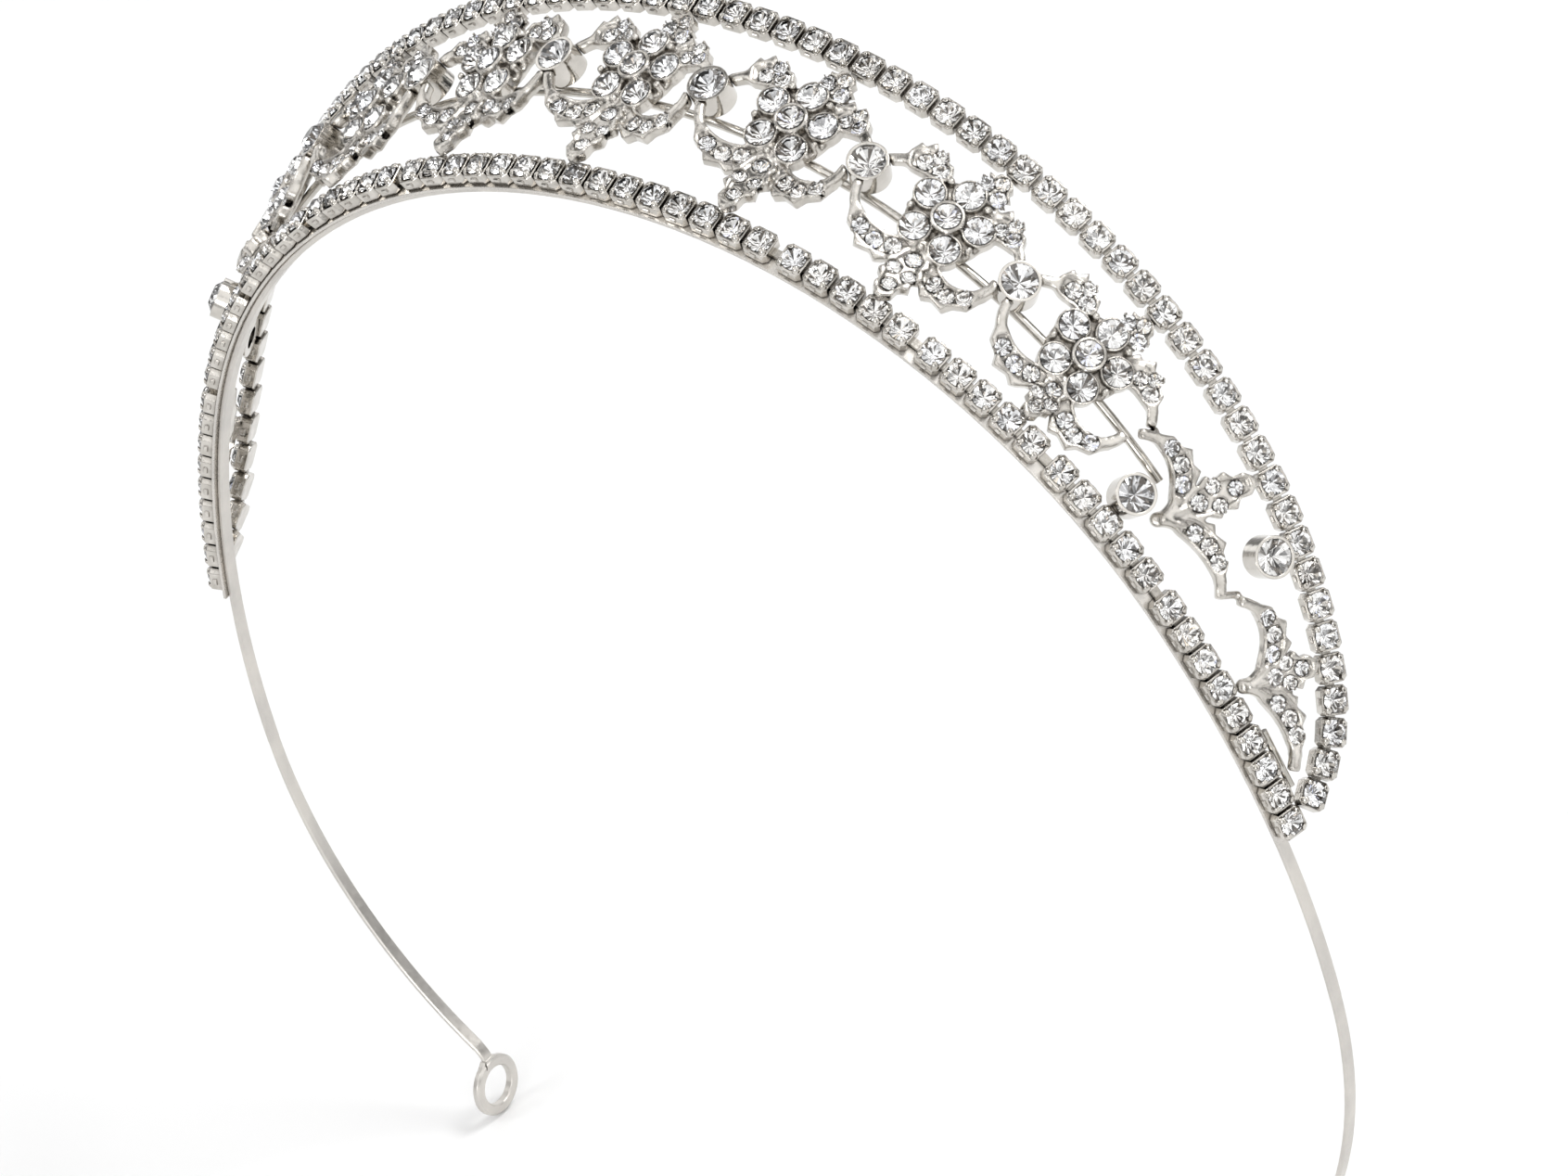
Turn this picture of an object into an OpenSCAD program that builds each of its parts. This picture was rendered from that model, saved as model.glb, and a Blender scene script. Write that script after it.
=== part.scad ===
// Bridal tiara: a sprung headband strip that carries a crescent of crystals.
// Two rhinestone cup chains bound the crescent, and cast flowers, collet stones and leaf sprays
// are soldered between them. Millimetres. The band lies in a plane of constant Y with its crown up
// (+Z) and its two end loops on the ground; the crystals face outward and to the front (-Y).

/* [Headband] */
// Radius of the band over the crown of the head
crown_r = 62.5; // [55:0.5:75]
// Half angle of the crown arc
crown_deg = 66; // [55:1:75]
// Radius of the band beside the temples
temple_r = 96; // [70:1:140]
// Heading of the band where the temple arc ends
temple_deg = 91; // [84:1:98]
// Radius of the legs behind the ears
leg_r = 52; // [40:1:90]
// Heading of the band at the end of each leg
leg_deg = 134; // [110:1:145]
// Width of the band strip
strip_w = 1.4; // [1:0.1:3]
// Thickness of the band strip
strip_t = 0.6; // [0.4:0.05:1.2]
// Bevel along the strip's edges
strip_bevel = 0.12; // [0.05:0.01:0.25]

/* [End loops] */
// Radius of the bore of each end loop
loop_bore_r = 2.05; // [1.5:0.05:3]
// Radial width of the wire that forms the loop
loop_wire = 1.1; // [0.8:0.05:1.6]
// Thickness of the loop along its bore
loop_t = 0.9; // [0.6:0.05:1.4]
// Inside radius of the bend that turns the leg upright above its loop
loop_bend_r = 2.4; // [1.5:0.1:4]

/* [Crescent] */
// Lean of the crescent from the band's plane towards the back
lean = 72; // [50:1:85]
// Height of the upper chain over the band at the middle of the front
arch_top = 21.4; // [14:0.1:30]
// Height of the upper chain over the band at the two tips
arch_tip = 4; // [4:0.1:6]
// Length along the band from the middle to each tip of the upper chain
arch_half = 92.1; // [80:0.1:100]

/* [Base strip] */
// Reach of the base strip in front of the band's centre line
base_front = 1.1; // [0.8:0.05:1.6]
// Reach of the base strip behind the band's centre line
base_back = 0.7; // [0.5:0.05:1.2]
// Height of the base strip's sloped seat over the band, along the crystals' facing
base_seat = 0.6; // [0.4:0.05:1]

/* [Cup chains] */
// Diameter of the chain crystals
chain_stone = 2.34; // [2.2:0.02:2.4]
// Length of a cup along the chain
cup_l = 2.7; // [2.5:0.02:2.7]
// Width of a cup across the chain
cup_w = 2.7; // [2.6:0.02:2.7]
// Radius that rounds the cup's four corners
cup_round = 1.72; // [1.66:0.01:1.72]
// Thickness of a cup's floor
cup_floor = 0.35; // [0.2:0.05:0.6]
// Height of a cup's rim between its claws
cup_rim = 1.25; // [1:0.05:1.6]
// Height of the four claws
cup_claw = 1.7; // [1.5:0.02:2]
// Opening between two claws
claw_gap = 1.56; // [1.5:0.02:1.6]
// Reach of a claw's tip over the crystal
claw_lean = 0.24; // [0.1:0.02:0.3]
// Width of the window in each side wall of a cup
window_w = 0.5; // [0.4:0.05:0.9]
// Height of the window in each side wall of a cup
window_h = 0.4; // [0.3:0.05:0.6]
// Spacing of the lower chain's cups within one length of chain
lower_pitch = 2.94; // [2.7:0.01:3.2]
// Cups of the lower chain on each side of the middle
lower_half = 31; // [25:1:35]
// Cups in one length of the lower chain
lower_run = 5; // [3:1:8]
// Extra gap where two lengths of the lower chain meet
lower_gap = 0.7; // [0:0.05:1]
// Spacing of the upper chain's cups
upper_pitch = 2.99; // [2.8:0.01:3.2]
// Cups of the upper chain on each side of the middle
upper_half = 35; // [28:1:38]
// Width of the link between two cups
link_w = 0.8; // [0.5:0.05:1.2]
// Thickness of the link between two cups
link_t = 0.4; // [0.25:0.05:0.6]

/* [Flowers] */
// Spacing of the flowers along the band
flower_pitch = 16.5; // [15:0.1:18]
// Distance from a flower's centre up to the upper chain
flower_reach = 7.2; // [6.5:0.05:8]
// Diameter of a petal crystal
petal_stone = 2.75; // [2.2:0.05:2.8]
// Diameter of a flower's centre crystal
heart_stone = 2.5; // [1.8:0.05:2.6]
// Distance of the petals from the flower's centre
petal_ring = 3.1; // [2.8:0.05:3.6]
// Turn of the petal ring
petal_turn = 14; // [10:1:20]
// Wall of the petal settings
setting_wall = 0.22; // [0.2:0.02:0.3]
// Wall of the centre setting
heart_wall = 0.38; // [0.36:0.02:0.42]
// Height of a petal setting
petal_h = 1.6; // [1.2:0.05:2]
// Height of the centre setting
heart_h = 2.2; // [1.6:0.05:2.8]
// Radius of the disc under the petals
disc_r = 4.1; // [3.9:0.05:4.5]
// Thickness of the disc under the petals
disc_h = 0.8; // [0.75:0.01:0.85]
// Radius of the beads that hold the petal crystals
bead_r = 0.36; // [0.25:0.02:0.5]
// Distance of the beads from the flower's centre
bead_ring = 3.75; // [3.6:0.05:4]

/* [Leaves] */
// Thickness of a leaf between its rims
leaf_t = 0.9; // [0.8:0.05:1.2]
// Height of the raised rim round a leaf
rim_h = 0.3; // [0.15:0.05:0.4]
// Width of the raised rim round a leaf
rim_w = 0.3; // [0.2:0.05:0.4]
// Half width of the stem that a leaf narrows to
leaf_neck = 0.5; // [0.4:0.02:0.54]
// Jagged lobes along the outer side of a leaf
leaf_lobes = 4; // [3:1:5]
// Depth of the notch between two lobes, as a share of the width
lobe_notch = 0.3; // [0.1:0.02:0.4]
// Diameter of the larger leaf crystals
leaf_stone = 1.6; // [1.4:0.05:1.6]
// Diameter of the smaller leaf crystals
tip_stone = 1.4; // [1.2:0.05:1.4]

/* [Collets] */
// Diameter of a collet crystal
collet_stone = 3.4; // [3:0.05:4]
// Outside radius of a collet
collet_r = 2; // [1.8:0.05:2.4]
// Depth of a collet
collet_h = 2.7; // [2:0.05:3.5]
// Radius of the hole through a collet's back
collet_back_r = 1.1; // [0.8:0.05:1.4]

/* [Back wire] */
// Radius of the wire behind the flowers
wire_r = 0.45; // [0.3:0.02:0.6]
// Height of the wire at the middle of the front
wire_top = 10.6; // [9:0.1:12]
// Height of the wire at its ends
wire_tip = 7.6; // [6:0.1:9]
// Length along the band from the middle to each end of the wire
wire_half = 61.5; // [55:0.5:64]
// Radius of the short wire at each tip of the crescent
tip_wire_r = 0.35; // [0.25:0.01:0.45]

/* [Hidden] */
$fn = 20;
RAD = 180 / PI;

// Facing depth of the back of every casting, over the band
cast_f = 0.95;
// Height of the lower chain's centre line over the band
lower_h = 0.7;
// Clearance that keeps neighbouring pieces from sharing a surface
hair = 0.02;
// Length by which two arcs of the strip lap
lap = 0.5;
// Share of the loop's wire that the leg's neck reaches into
neck_depth = 0.7;
// Rise of the neck above the loop, its half width and its depth in the loop as shares of the loop
neck_rise = 0.5;
neck_spread = 0.85;
neck_root = 0.76;
// Seam where the strip's end meets its own neck
seam_w = 0.16;
seam_off = 0.25;
seam_root = 0.8;
seam_deg = 20;
// Reach of the base strip past the last cup
base_past = 0.4;
// Length of each leg that lies under the base strip
joint_lap = 3;

loop_r = loop_bore_r + loop_wire;
crown_len = crown_r * crown_deg / RAD;
temple_c = (crown_r - temple_r) * [sin(crown_deg), cos(crown_deg)];
leg_c = temple_c + (temple_r - leg_r) * [sin(temple_deg), cos(temple_deg)];
bend_c = leg_c + (leg_r + loop_bend_r) * [sin(leg_deg), cos(leg_deg)];
loop_x = bend_c[0] - loop_bend_r - strip_t / 2;
loop_drop = loop_bore_r + loop_wire * neck_depth;
crown_z = loop_r + loop_drop - bend_c[1];
plane_y = -(sin(lean) * (arch_top + cup_w / 2) - cos(lean) * base_seat - loop_r) / 2;

// Heading of the band, in degrees from the crown, at a length s from the middle
function heading(s) = abs(s) <= crown_len ? s / crown_r * RAD
    : sign(s) * (crown_deg + (abs(s) - crown_len) / temple_r * RAD);

function bend_radius(s) = abs(s) <= crown_len ? crown_r : temple_r;

function along(p) = [cos(p), 0, -sin(p)];

function outward(p) = [sin(p), 0, cos(p)];

function rising(p) = cos(lean) * outward(p) + [0, sin(lean), 0];

function facing(p) = sin(lean) * outward(p) - [0, cos(lean), 0];

// Point on the band's outer face at a length s from the middle
function band_point(s) = let (p = abs(heading(s)))
    abs(s) <= crown_len
    ? [sign(s) * crown_r * sin(p), plane_y, crown_z + crown_r * cos(p)]
    : [sign(s) * (temple_c[0] + temple_r * sin(p)), plane_y, crown_z + temple_c[1] + temple_r * cos(p)];

// Point of the crescent: length along the band, height over it, depth towards the crystals
function sheet_point(s, h, f) = band_point(s) + h * rising(heading(s)) + f * facing(heading(s));

// The same point seen from a piece that stands at (s, h, f)
function seen_from(s, h, f, q) = let (d = q - sheet_point(s, h, f), p = heading(s))
    [d * along(p), d * rising(p), d * facing(p)];

// Upper chain: equal steps along a half ellipse on the crescent, straight where it would turn too steep
arch_rise = arch_top - arch_tip;
turn_max = 52;

function arch_h(s) = arch_tip + arch_rise * sqrt(max(0, 1 - pow(s / arch_half, 2)));

// Length at height h over the band for one length of the band
function spread(p) = 1 + p[1] * cos(lean) / bend_radius(p[0]);

function arch_slope(p) = let (x = min(0.9999, p[0] / arch_half))
    min(turn_max, atan2(arch_rise * x / sqrt(1 - x * x), arch_half * spread(p)));

function arch_go(p, slope, length) = p + length * [cos(slope) / spread(p), -sin(slope)];

function arch_next(p) = let (mid = arch_go(p, arch_slope(p), upper_pitch / 2))
    arch_go(p, arch_slope(mid), upper_pitch);

arch_points = [for (i = 0, p = [0, arch_top]; i <= upper_half; i = i + 1, p = arch_next(p)) p];

function arch_at(i) = let (p = arch_points[abs(i)]) [i < 0 ? -p[0] : p[0], p[1]];

function arch_turn(a, b) = -atan2(a[1] - b[1], (b[0] - a[0]) * spread(a));

// Lower chain: short lengths of cup chain laid end to end on the base strip
function lower_gaps(i) = min(4, max(0, floor((abs(i) - lower_run / 2) / lower_run)));

function lower_s(i) = sign(i) * (abs(i) * lower_pitch + lower_gaps(i) * lower_gap);

chain_edge = lower_h + cup_w / 2;
claw_f = base_seat + cup_claw;
base_end = lower_s(lower_half) + cup_l / 2 + base_past;
joint_s = base_end - joint_lap;

// Crystals: proportions of one round cut, as shares of its radius
gem_sides = 8;
leaf_gem_sides = 6;
gem_girdle = 0.86;
gem_crown = 1.22;
gem_table = 0.58;

// Flowers, collets and sprays: where they stand
function flower_s(i) = i * flower_pitch;

function flower_h(i) = arch_h(flower_s(i)) - cup_w / 2 - flower_reach;

function collet_s(i) = (i - 0.5) * flower_pitch;

// Drop of a collet below the flowers on both sides
collet_drop = 0.2;

function collet_at_h(i) = (flower_h(i - 1) + flower_h(i)) / 2 - collet_drop;

spray_s = [63.75, 80.5];
spray_h = [4.85, 2.8];

end_collet_s = [60.6, 72.3];
end_collet_gap = 0.3;
end_collet_h = [
    chain_edge + collet_r + hair,
    arch_h(end_collet_s[1]) - cup_w / 2 - collet_r - end_collet_gap
];

// Short wire in each tip of the crescent: its two ends along the band
tip_wire_s = [85.1, 91.1];

// Leaves: start, end, bend, tilt, half width left and right, lobes left and right,
// blade from and to, crystals (share of the length, across, diameter)
foot_y = 3.8;
top_x = 1;
top_deg = 68;
top_gap = 0.25;
top_lean = 1.5;
top_w = 2;
foot_w = 2.1;
foot_share = 0.38;
foot_x = -0.3;
foot_over = 1;
// Distance from a collet's centre at which a stem ends, before it is coped to the collet's wall
cope = 1.7;

function polar(r, a) = r * [cos(a), sin(a)];

// Where a stem of flower i ends: at the collet on that side, or free where there is none
function stem_end(i, side, a, free) = side > 0 && i == 3 ? free
    : let (c = collet_from(i, i + (side + 1) / 2)) [c[0], c[1]] + polar(cope, a);

function side_leaves(i) = [
    [stem_end(i, -1, 68, [0, 0]), [-2.2, 3.3], -60, 3, 2.3, 1.1, 1, 0, 0.3, 1,
     [[0.56, 0.15, leaf_stone], [0.7, 1.15, tip_stone], [0.82, 0.05, leaf_stone]]],
    [[2.7, 1.5], stem_end(i, 1, 118, [8.6, -0.72]), -86, 5, 2.4, 1.1, 1, 0, 0, 0.74,
     [[0.32, 0.2, tip_stone], [0.44, 1.2, tip_stone], [0.57, 0.1, leaf_stone]]],
    [[-0.5, -2.4], stem_end(i, -1, 273, [0, 0]), -150, 7, 2.15, 0.9, 1, 0, 0.1, 0.76,
     [[0.29, 0.2, leaf_stone], [0.44, 0.35, leaf_stone], [0.59, 0.3, leaf_stone]]],
    [[1.2, -3.7], stem_end(i, 1, 222, [7.5, -3]), 165, 8, 0.95, 1.95, 0, 1, 0, 0.74,
     [[0.29, -0.1, leaf_stone], [0.46, -0.3, leaf_stone], [0.63, -0.1, leaf_stone]]]
];

// Top leaf: up to the lower edge of the upper chain, which falls away to the side
function top_leaf(i) = let (
        tip_x = top_x + top_lean,
        fall = arch_h(flower_s(i)) - arch_h(flower_s(i) + tip_x),
        l = (flower_reach - fall - top_gap - foot_y) / sin(top_deg))
    [[top_x, foot_y], [top_x, foot_y] + polar(l, top_deg), 0, 3, top_w, top_w, 1, 1, 0, 1,
     [[0.34, 1, leaf_stone], [0.38, -1, leaf_stone], [0.74, 0.1, tip_stone]]];

// Foot leaf: tilted so that it passes over the claws of the lower chain
function foot_leaf(i) = let (l = flower_h(i) - foot_y - chain_edge)
    [[0, -foot_y], [foot_x, -foot_y - l - foot_over], 0, atan((claw_f - cast_f + hair) / l),
     min(foot_w, foot_share * l), min(foot_w, foot_share * l), 1, 1, 0, 1,
     [[0.21, 0, leaf_stone], [0.48, 0.88, tip_stone], [0.48, -0.88, tip_stone], [0.74, 0, tip_stone]]];

function flower_leaves(i) = concat(side_leaves(i), [top_leaf(i), foot_leaf(i)]);

// Long leaf of a spray: as far as the upper chain lets it reach
spray_deg = 72;
spray_lean = 2.5;
spray_gap = 0.3;

function spray_reach(k) =
    (arch_h(spray_s[k] + spray_lean) - cup_w / 2 - spray_gap - spray_h[k]) / sin(spray_deg);

function spray_leaves(k) = [
    [[0, 0], [-7.3, 3.4], 150, 6, 0.95, 1.9, 0, 1, 0.2, 0.82,
     [[0.37, -0.1, leaf_stone], [0.53, -0.2, leaf_stone], [0.69, -0.1, leaf_stone]]],
    [[0.1, 0.2], polar(spray_reach(k), spray_deg), 0, 4, 2.1, 2.1, 1, 1, 0.22, 1,
     [[0.4, 0, leaf_stone], [0.58, 0.95, tip_stone], [0.58, -0.95, tip_stone], [0.78, 0, tip_stone]]],
    [[0.2, 0], [9.2, -0.4], -95, 6, 2, 0.95, 1, 0, 0.15, 0.8,
     [[0.35, 0.1, leaf_stone], [0.52, 0.2, leaf_stone], [0.68, 0.2, leaf_stone]]]
];

// Names of every piece, one solid or one group of like solids each

// Stand children on the crescent: x along the band, y up the crescent, z towards the viewer
module on_sheet(s, h, f, turn = 0) {
    translate(sheet_point(s, h, f))
        rotate([0, heading(s), 0])
            rotate([90 - lean, 0, turn])
                children();
}

// Sweep a section (outward, back) along an arc of the band
module swept(c, r, from, to) {
    translate([c[0], plane_y, crown_z + c[1]])
        rotate([-90, -90, 0])
            rotate([0, 0, from])
                rotate_extrude(angle = to - from)
                    translate([r, 0])
                        children();
}

module both_sides() {
    children();
    mirror([1, 0, 0])
        children();
}

// Straight round bar between two points
module bar(a, b, r) {
    d = b - a;
    translate(a)
        rotate([0, acos(d[2] / norm(d)), atan2(d[1], d[0])])
            cylinder(r = r, h = norm(d));
}

// Crystal: a ring of facets below the girdle, a ring above it and a flat table
module gem(r, sides = gem_sides) {
    flat = r * cos(180 / sides);
    intersection_for (k = [1:sides / 2])
        rotate([90, 0, 360 / sides * k])
            translate([0, 0, -2 * r])
                linear_extrude(4 * r)
                    polygon([
                        [0, 0],
                        [flat, gem_girdle * r],
                        [gem_table * flat, gem_crown * r],
                        [-gem_table * flat, gem_crown * r],
                        [-flat, gem_girdle * r]
                    ]);
}

// A crystal, or the hole it sits in, with the girdle level with the top of its setting
module gem_at(r, top, sides = gem_sides) {
    translate([0, 0, top - gem_girdle * r])
        gem(r, sides);
}

module seat_at(r, top) {
    translate([0, 0, top - gem_girdle * r])
        cylinder(r = r, h = 2 * r);
}

// Section of the strip with bevelled edges; a slim one lies just inside the full one
module strip_section(slim = 0) {
    out = -slim;
    in = slim - strip_t;
    edge = strip_w / 2 - slim;
    polygon([
        [in, -edge + strip_bevel],
        [in + strip_bevel, -edge],
        [out - strip_bevel, -edge],
        [out, -edge + strip_bevel],
        [out, edge - strip_bevel],
        [out - strip_bevel, edge],
        [in + strip_bevel, edge],
        [in, edge - strip_bevel]
    ]);
}

// End loop: the strip's end bent round into an eye, with the seam where it meets its own neck
module end_loop() {
    inner = loop_bore_r;
    outer = loop_r;
    half = loop_t / 2;
    edge = 2 * strip_bevel;
    neck_top = loop_drop + neck_rise;
    translate([loop_x, plane_y, loop_r])
        difference() {
            union() {
                rotate([0, 90, 0])
                    rotate_extrude()
                        polygon([
                            [inner, -half + strip_bevel],
                            [inner + strip_bevel, -half],
                            [outer - edge, -half],
                            [outer, -half + edge],
                            [outer, half - edge],
                            [outer - edge, half],
                            [inner + strip_bevel, half],
                            [inner, half - strip_bevel]
                        ]);
                rotate([90, 0, 90])
                    translate([0, 0, -strip_t / 2])
                        linear_extrude(strip_t)
                            polygon([
                                [-strip_w / 2, neck_top],
                                [strip_w / 2, neck_top],
                                [inner * neck_spread, outer * neck_root],
                                [-inner * neck_spread, outer * neck_root]
                            ]);
            }
            rotate([0, 90, 0])
                translate([0, 0, -loop_t])
                    cylinder(r = inner, h = 2 * loop_t);
            translate([-loop_t, -strip_w / 2 - seam_off, outer * seam_root])
                rotate([-seam_deg, 0, 0])
                    cube([2 * loop_t, seam_w, outer]);
        }
}

module headband() {
    color("#d6d4d0") {
        swept([0, 0], crown_r, -crown_deg, crown_deg)
            strip_section();
        both_sides()
            swept(temple_c, temple_r, crown_deg - lap / temple_r * RAD, heading(joint_s))
                strip_section(hair);
    }
}

// Leg: the strip from under the end of the base strip down to its eye
module leg() {
    color("#d6d4d0") {
        swept(temple_c, temple_r, heading(joint_s), temple_deg)
            strip_section(hair);
        swept(leg_c, leg_r, temple_deg - lap / leg_r * RAD, leg_deg)
            strip_section(2 * hair);
        swept(bend_c, loop_bend_r, 270, 180 + leg_deg + lap / loop_bend_r * RAD)
            mirror([1, 0])
                strip_section(3 * hair);
        end_loop();
    }
}

// Base strip: flat on the band, its top sloped so that the cups lean with the crescent
module base_section() {
    function slope(y) = (base_seat + cos(lean) * y) / sin(lean);
    polygon([
        [0, -base_front],
        [slope(-base_front), -base_front],
        [slope(base_back), base_back],
        [0, base_back]
    ]);
}

module base_strip() {
    color("#cfcdc9") {
        swept([0, 0], crown_r, -crown_deg, crown_deg)
            base_section();
        both_sides()
            swept(temple_c, temple_r, crown_deg, heading(base_end))
                base_section();
    }
}

// Chain cup: a rounded square box with four claws and a window in each side wall
module cup() {
    bore = chain_stone / 2;
    difference() {
        intersection() {
            translate([-cup_l / 2, -cup_w / 2, 0])
                cube([cup_l, cup_w, cup_claw]);
            cylinder(r = cup_round, h = cup_claw);
        }
        translate([0, 0, cup_floor])
            cylinder(r = bore, h = cup_rim - cup_floor);
        translate([0, 0, cup_rim])
            cylinder(r1 = bore, r2 = bore - claw_lean, h = cup_claw - cup_rim);
        translate([-cup_l, -claw_gap / 2, cup_rim])
            cube([2 * cup_l, claw_gap, cup_claw]);
        translate([-claw_gap / 2, -cup_w, cup_rim])
            cube([claw_gap, 2 * cup_w, cup_claw]);
        translate([-window_w / 2, -cup_w, (cup_floor + cup_rim - window_h) / 2])
            cube([window_w, 2 * cup_w, window_h]);
    }
}

module chain_gem() {
    translate([0, 0, cup_floor])
        gem(chain_stone / 2);
}

module lower_chain_cups() {
    color("#c9c7c3")
        for (i = [-lower_half:lower_half])
            on_sheet(lower_s(i), lower_h, base_seat)
                cup();
}

module lower_chain_stones() {
    color("#eef1f6")
        for (i = [-lower_half:lower_half])
            on_sheet(lower_s(i), lower_h, base_seat)
                chain_gem();
}

// Link: a short strap from the end wall of one cup to the next
module link(length) {
    translate([-length / 2, -link_w / 2, link_t / 2])
        cube([length, link_w, link_t]);
}

module lower_chain_links() {
    color("#bdbbb7")
        for (i = [-lower_half:lower_half - 1]) {
            a = lower_s(i);
            b = lower_s(i + 1);
            gap = norm(sheet_point(b, lower_h, base_seat) - sheet_point(a, lower_h, base_seat)) - cup_l;
            on_sheet((a + b) / 2, lower_h, base_seat)
                link(gap);
        }
}

// Stand children on the upper chain between two of its points, turned along them
module on_arch(a, b) {
    mid = (a + b) / 2;
    on_sheet(mid[0], mid[1], base_seat, arch_turn(a, b))
        children();
}

module on_upper_cup(i) {
    here = arch_at(i);
    before = arch_at(max(i - 1, -upper_half));
    after = arch_at(min(i + 1, upper_half));
    on_sheet(here[0], here[1], base_seat, arch_turn(before, after))
        children();
}

module upper_chain_cups() {
    color("#c9c7c3")
        for (i = [-upper_half:upper_half])
            on_upper_cup(i)
                cup();
}

module upper_chain_stones() {
    color("#eef1f6")
        for (i = [-upper_half:upper_half])
            on_upper_cup(i)
                chain_gem();
}

module upper_chain_links() {
    color("#bdbbb7")
        for (i = [-upper_half:upper_half - 1]) {
            a = arch_at(i);
            b = arch_at(i + 1);
            gap = norm(sheet_point(b[0], b[1], base_seat) - sheet_point(a[0], a[1], base_seat)) - cup_l;
            on_arch(a, b)
                link(gap);
        }
}

// Leaf: a blade on an arc between two points, jagged on its outer side, with a raised rim
// and bored seats for its crystals. It narrows to a plain stem at one end or both.
stem_steps = 4;
blade_steps = 8;
// Share of a blade that carries lobes, before its tip
lobe_span = 0.9;

function leaf_chord(v) = norm(v[1] - v[0]);

// Point of a leaf in its own frame: share of the length, distance across
function leaf_point(v, t, y) = let (c = leaf_chord(v), b = v[2], a = b * (t - 0.5))
    b == 0 ? [c * t, y]
    : let (r = c / (2 * sin(b / 2))) [
        r * (sin(a) + sin(b / 2)) - y * sin(a),
        r * (cos(b / 2) - cos(a)) + y * cos(a)
    ];

function blade_width(u, w) = leaf_neck + (w - leaf_neck) * pow(sin(180 * pow(u, 0.8)), 0.65);

function blade_at(v, u) = v[8] + (v[9] - v[8]) * u;

function lobe_at(v, k) = blade_at(v, k / leaf_lobes * lobe_span);

// One side of a leaf from its start to its end: share of the length, half width
function leaf_side(v, w, jagged) = concat(
    [[0, leaf_neck]],
    v[8] > 0 ? [for (k = [1:stem_steps]) [v[8] * k / stem_steps, leaf_neck]] : [],
    jagged > 0
    ? [for (k = [0:leaf_lobes - 1]) each [
        [lobe_at(v, k + 0.2), blade_width((k + 0.2) / leaf_lobes, w) * (1 - lobe_notch)],
        [lobe_at(v, k + 0.85), blade_width((k + 0.65) / leaf_lobes, w)]
    ]]
    : [for (k = [1:blade_steps]) let (u = k / (blade_steps + 1)) [blade_at(v, u), blade_width(u, w)]],
    v[9] < 1
    ? [for (k = [0:stem_steps]) [v[9] + (1 - v[9]) * k / stem_steps, leaf_neck]]
    : [[1, leaf_neck / 2]]
);

// The sunk middle of a leaf, inside its rim
function sunk_side(v, w, jagged) = [for (k = [1:blade_steps]) let (u = k / (blade_steps + 1))
    [blade_at(v, u), blade_width(u, w) * (1 - jagged * lobe_notch) - rim_w]];

function both_edges(v, left, right) = concat(
    [for (q = left) leaf_point(v, q[0], q[1])],
    [for (k = [len(right) - 1:-1:0]) leaf_point(v, right[k][0], -right[k][1])]
);

module leaf_frame(v) {
    d = v[1] - v[0];
    translate([v[0][0], v[0][1], 0])
        rotate([0, -v[3], atan2(d[1], d[0])])
            children();
}

module leaf_body(v) {
    leaf_frame(v)
        difference() {
            linear_extrude(leaf_t + rim_h)
                polygon(both_edges(v, leaf_side(v, v[4], v[6]), leaf_side(v, v[5], v[7])));
            translate([0, 0, leaf_t])
                linear_extrude(leaf_t)
                    polygon(both_edges(v, sunk_side(v, v[4], v[6]), sunk_side(v, v[5], v[7])));
        }
}

module leaf_places(v, seats) {
    leaf_frame(v)
        for (g = v[10])
            translate(leaf_point(v, g[0], g[1]))
                if (seats)
                    seat_at(g[2] / 2, leaf_t);
                else
                    gem_at(g[2] / 2, leaf_t, leaf_gem_sides);
}

// Settings of a flower: five petal cups and a taller centre cup on a disc, with beads between
// and a boss where the three lower leaves meet
boss_r = 0.95;
boss_h = 1.35;

module flower_settings() {
    cylinder(r = disc_r, h = disc_h);
    for (k = [0:4])
        rotate([0, 0, petal_turn + 72 * k]) {
            translate([petal_ring, 0, hair])
                cylinder(r = petal_stone / 2 + setting_wall, h = petal_h - hair);
            rotate([0, 0, 36])
                translate([bead_ring, 0, disc_h / 2]) {
                    cylinder(r = bead_r, h = petal_h - disc_h / 2);
                    translate([0, 0, petal_h - disc_h / 2])
                        sphere(r = bead_r + hair);
                }
        }
    translate([0, 0, disc_h / 2])
        cylinder(r = heart_stone / 2 + heart_wall, h = heart_h - disc_h / 2);
    translate([0, -foot_y, 2 * hair])
        cylinder(r = boss_r, h = boss_h);
}

module flower_gem_places(seats) {
    for (k = [0:4])
        rotate([0, 0, petal_turn + 72 * k])
            translate([petal_ring, 0, 0])
                if (seats)
                    seat_at(petal_stone / 2, petal_h);
                else
                    gem_at(petal_stone / 2, petal_h);
    if (seats)
        seat_at(heart_stone / 2, heart_h);
    else
        gem_at(heart_stone / 2, heart_h);
}

// Collet i stands between flower i - 1 and flower i
function collet_from(i, k) = seen_from(flower_s(i), flower_h(i), cast_f,
    sheet_point(collet_s(k), collet_at_h(k), cast_f + leaf_t));

module flower(i) {
    difference() {
        union() {
            flower_settings();
            for (v = flower_leaves(i))
                leaf_body(v);
        }
        flower_gem_places(true);
        for (v = flower_leaves(i))
            leaf_places(v, true);
    }
}

module flower_gems(i) {
    flower_gem_places(false);
    for (v = flower_leaves(i))
        leaf_places(v, false);
}

module on_flower(i) {
    on_sheet(flower_s(i), flower_h(i), cast_f)
        children();
}

// The stems are coped to the walls of the collets on both sides
module flower_piece(i) {
    color("#d0cecb")
        difference() {
            on_flower(i)
                flower(i);
            for (k = [i:min(i + 1, 3)])
                on_sheet(collet_s(k), collet_at_h(k), cast_f - collet_h)
                    cylinder(r = collet_r + hair, h = 3 * collet_h);
        }
}

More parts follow.
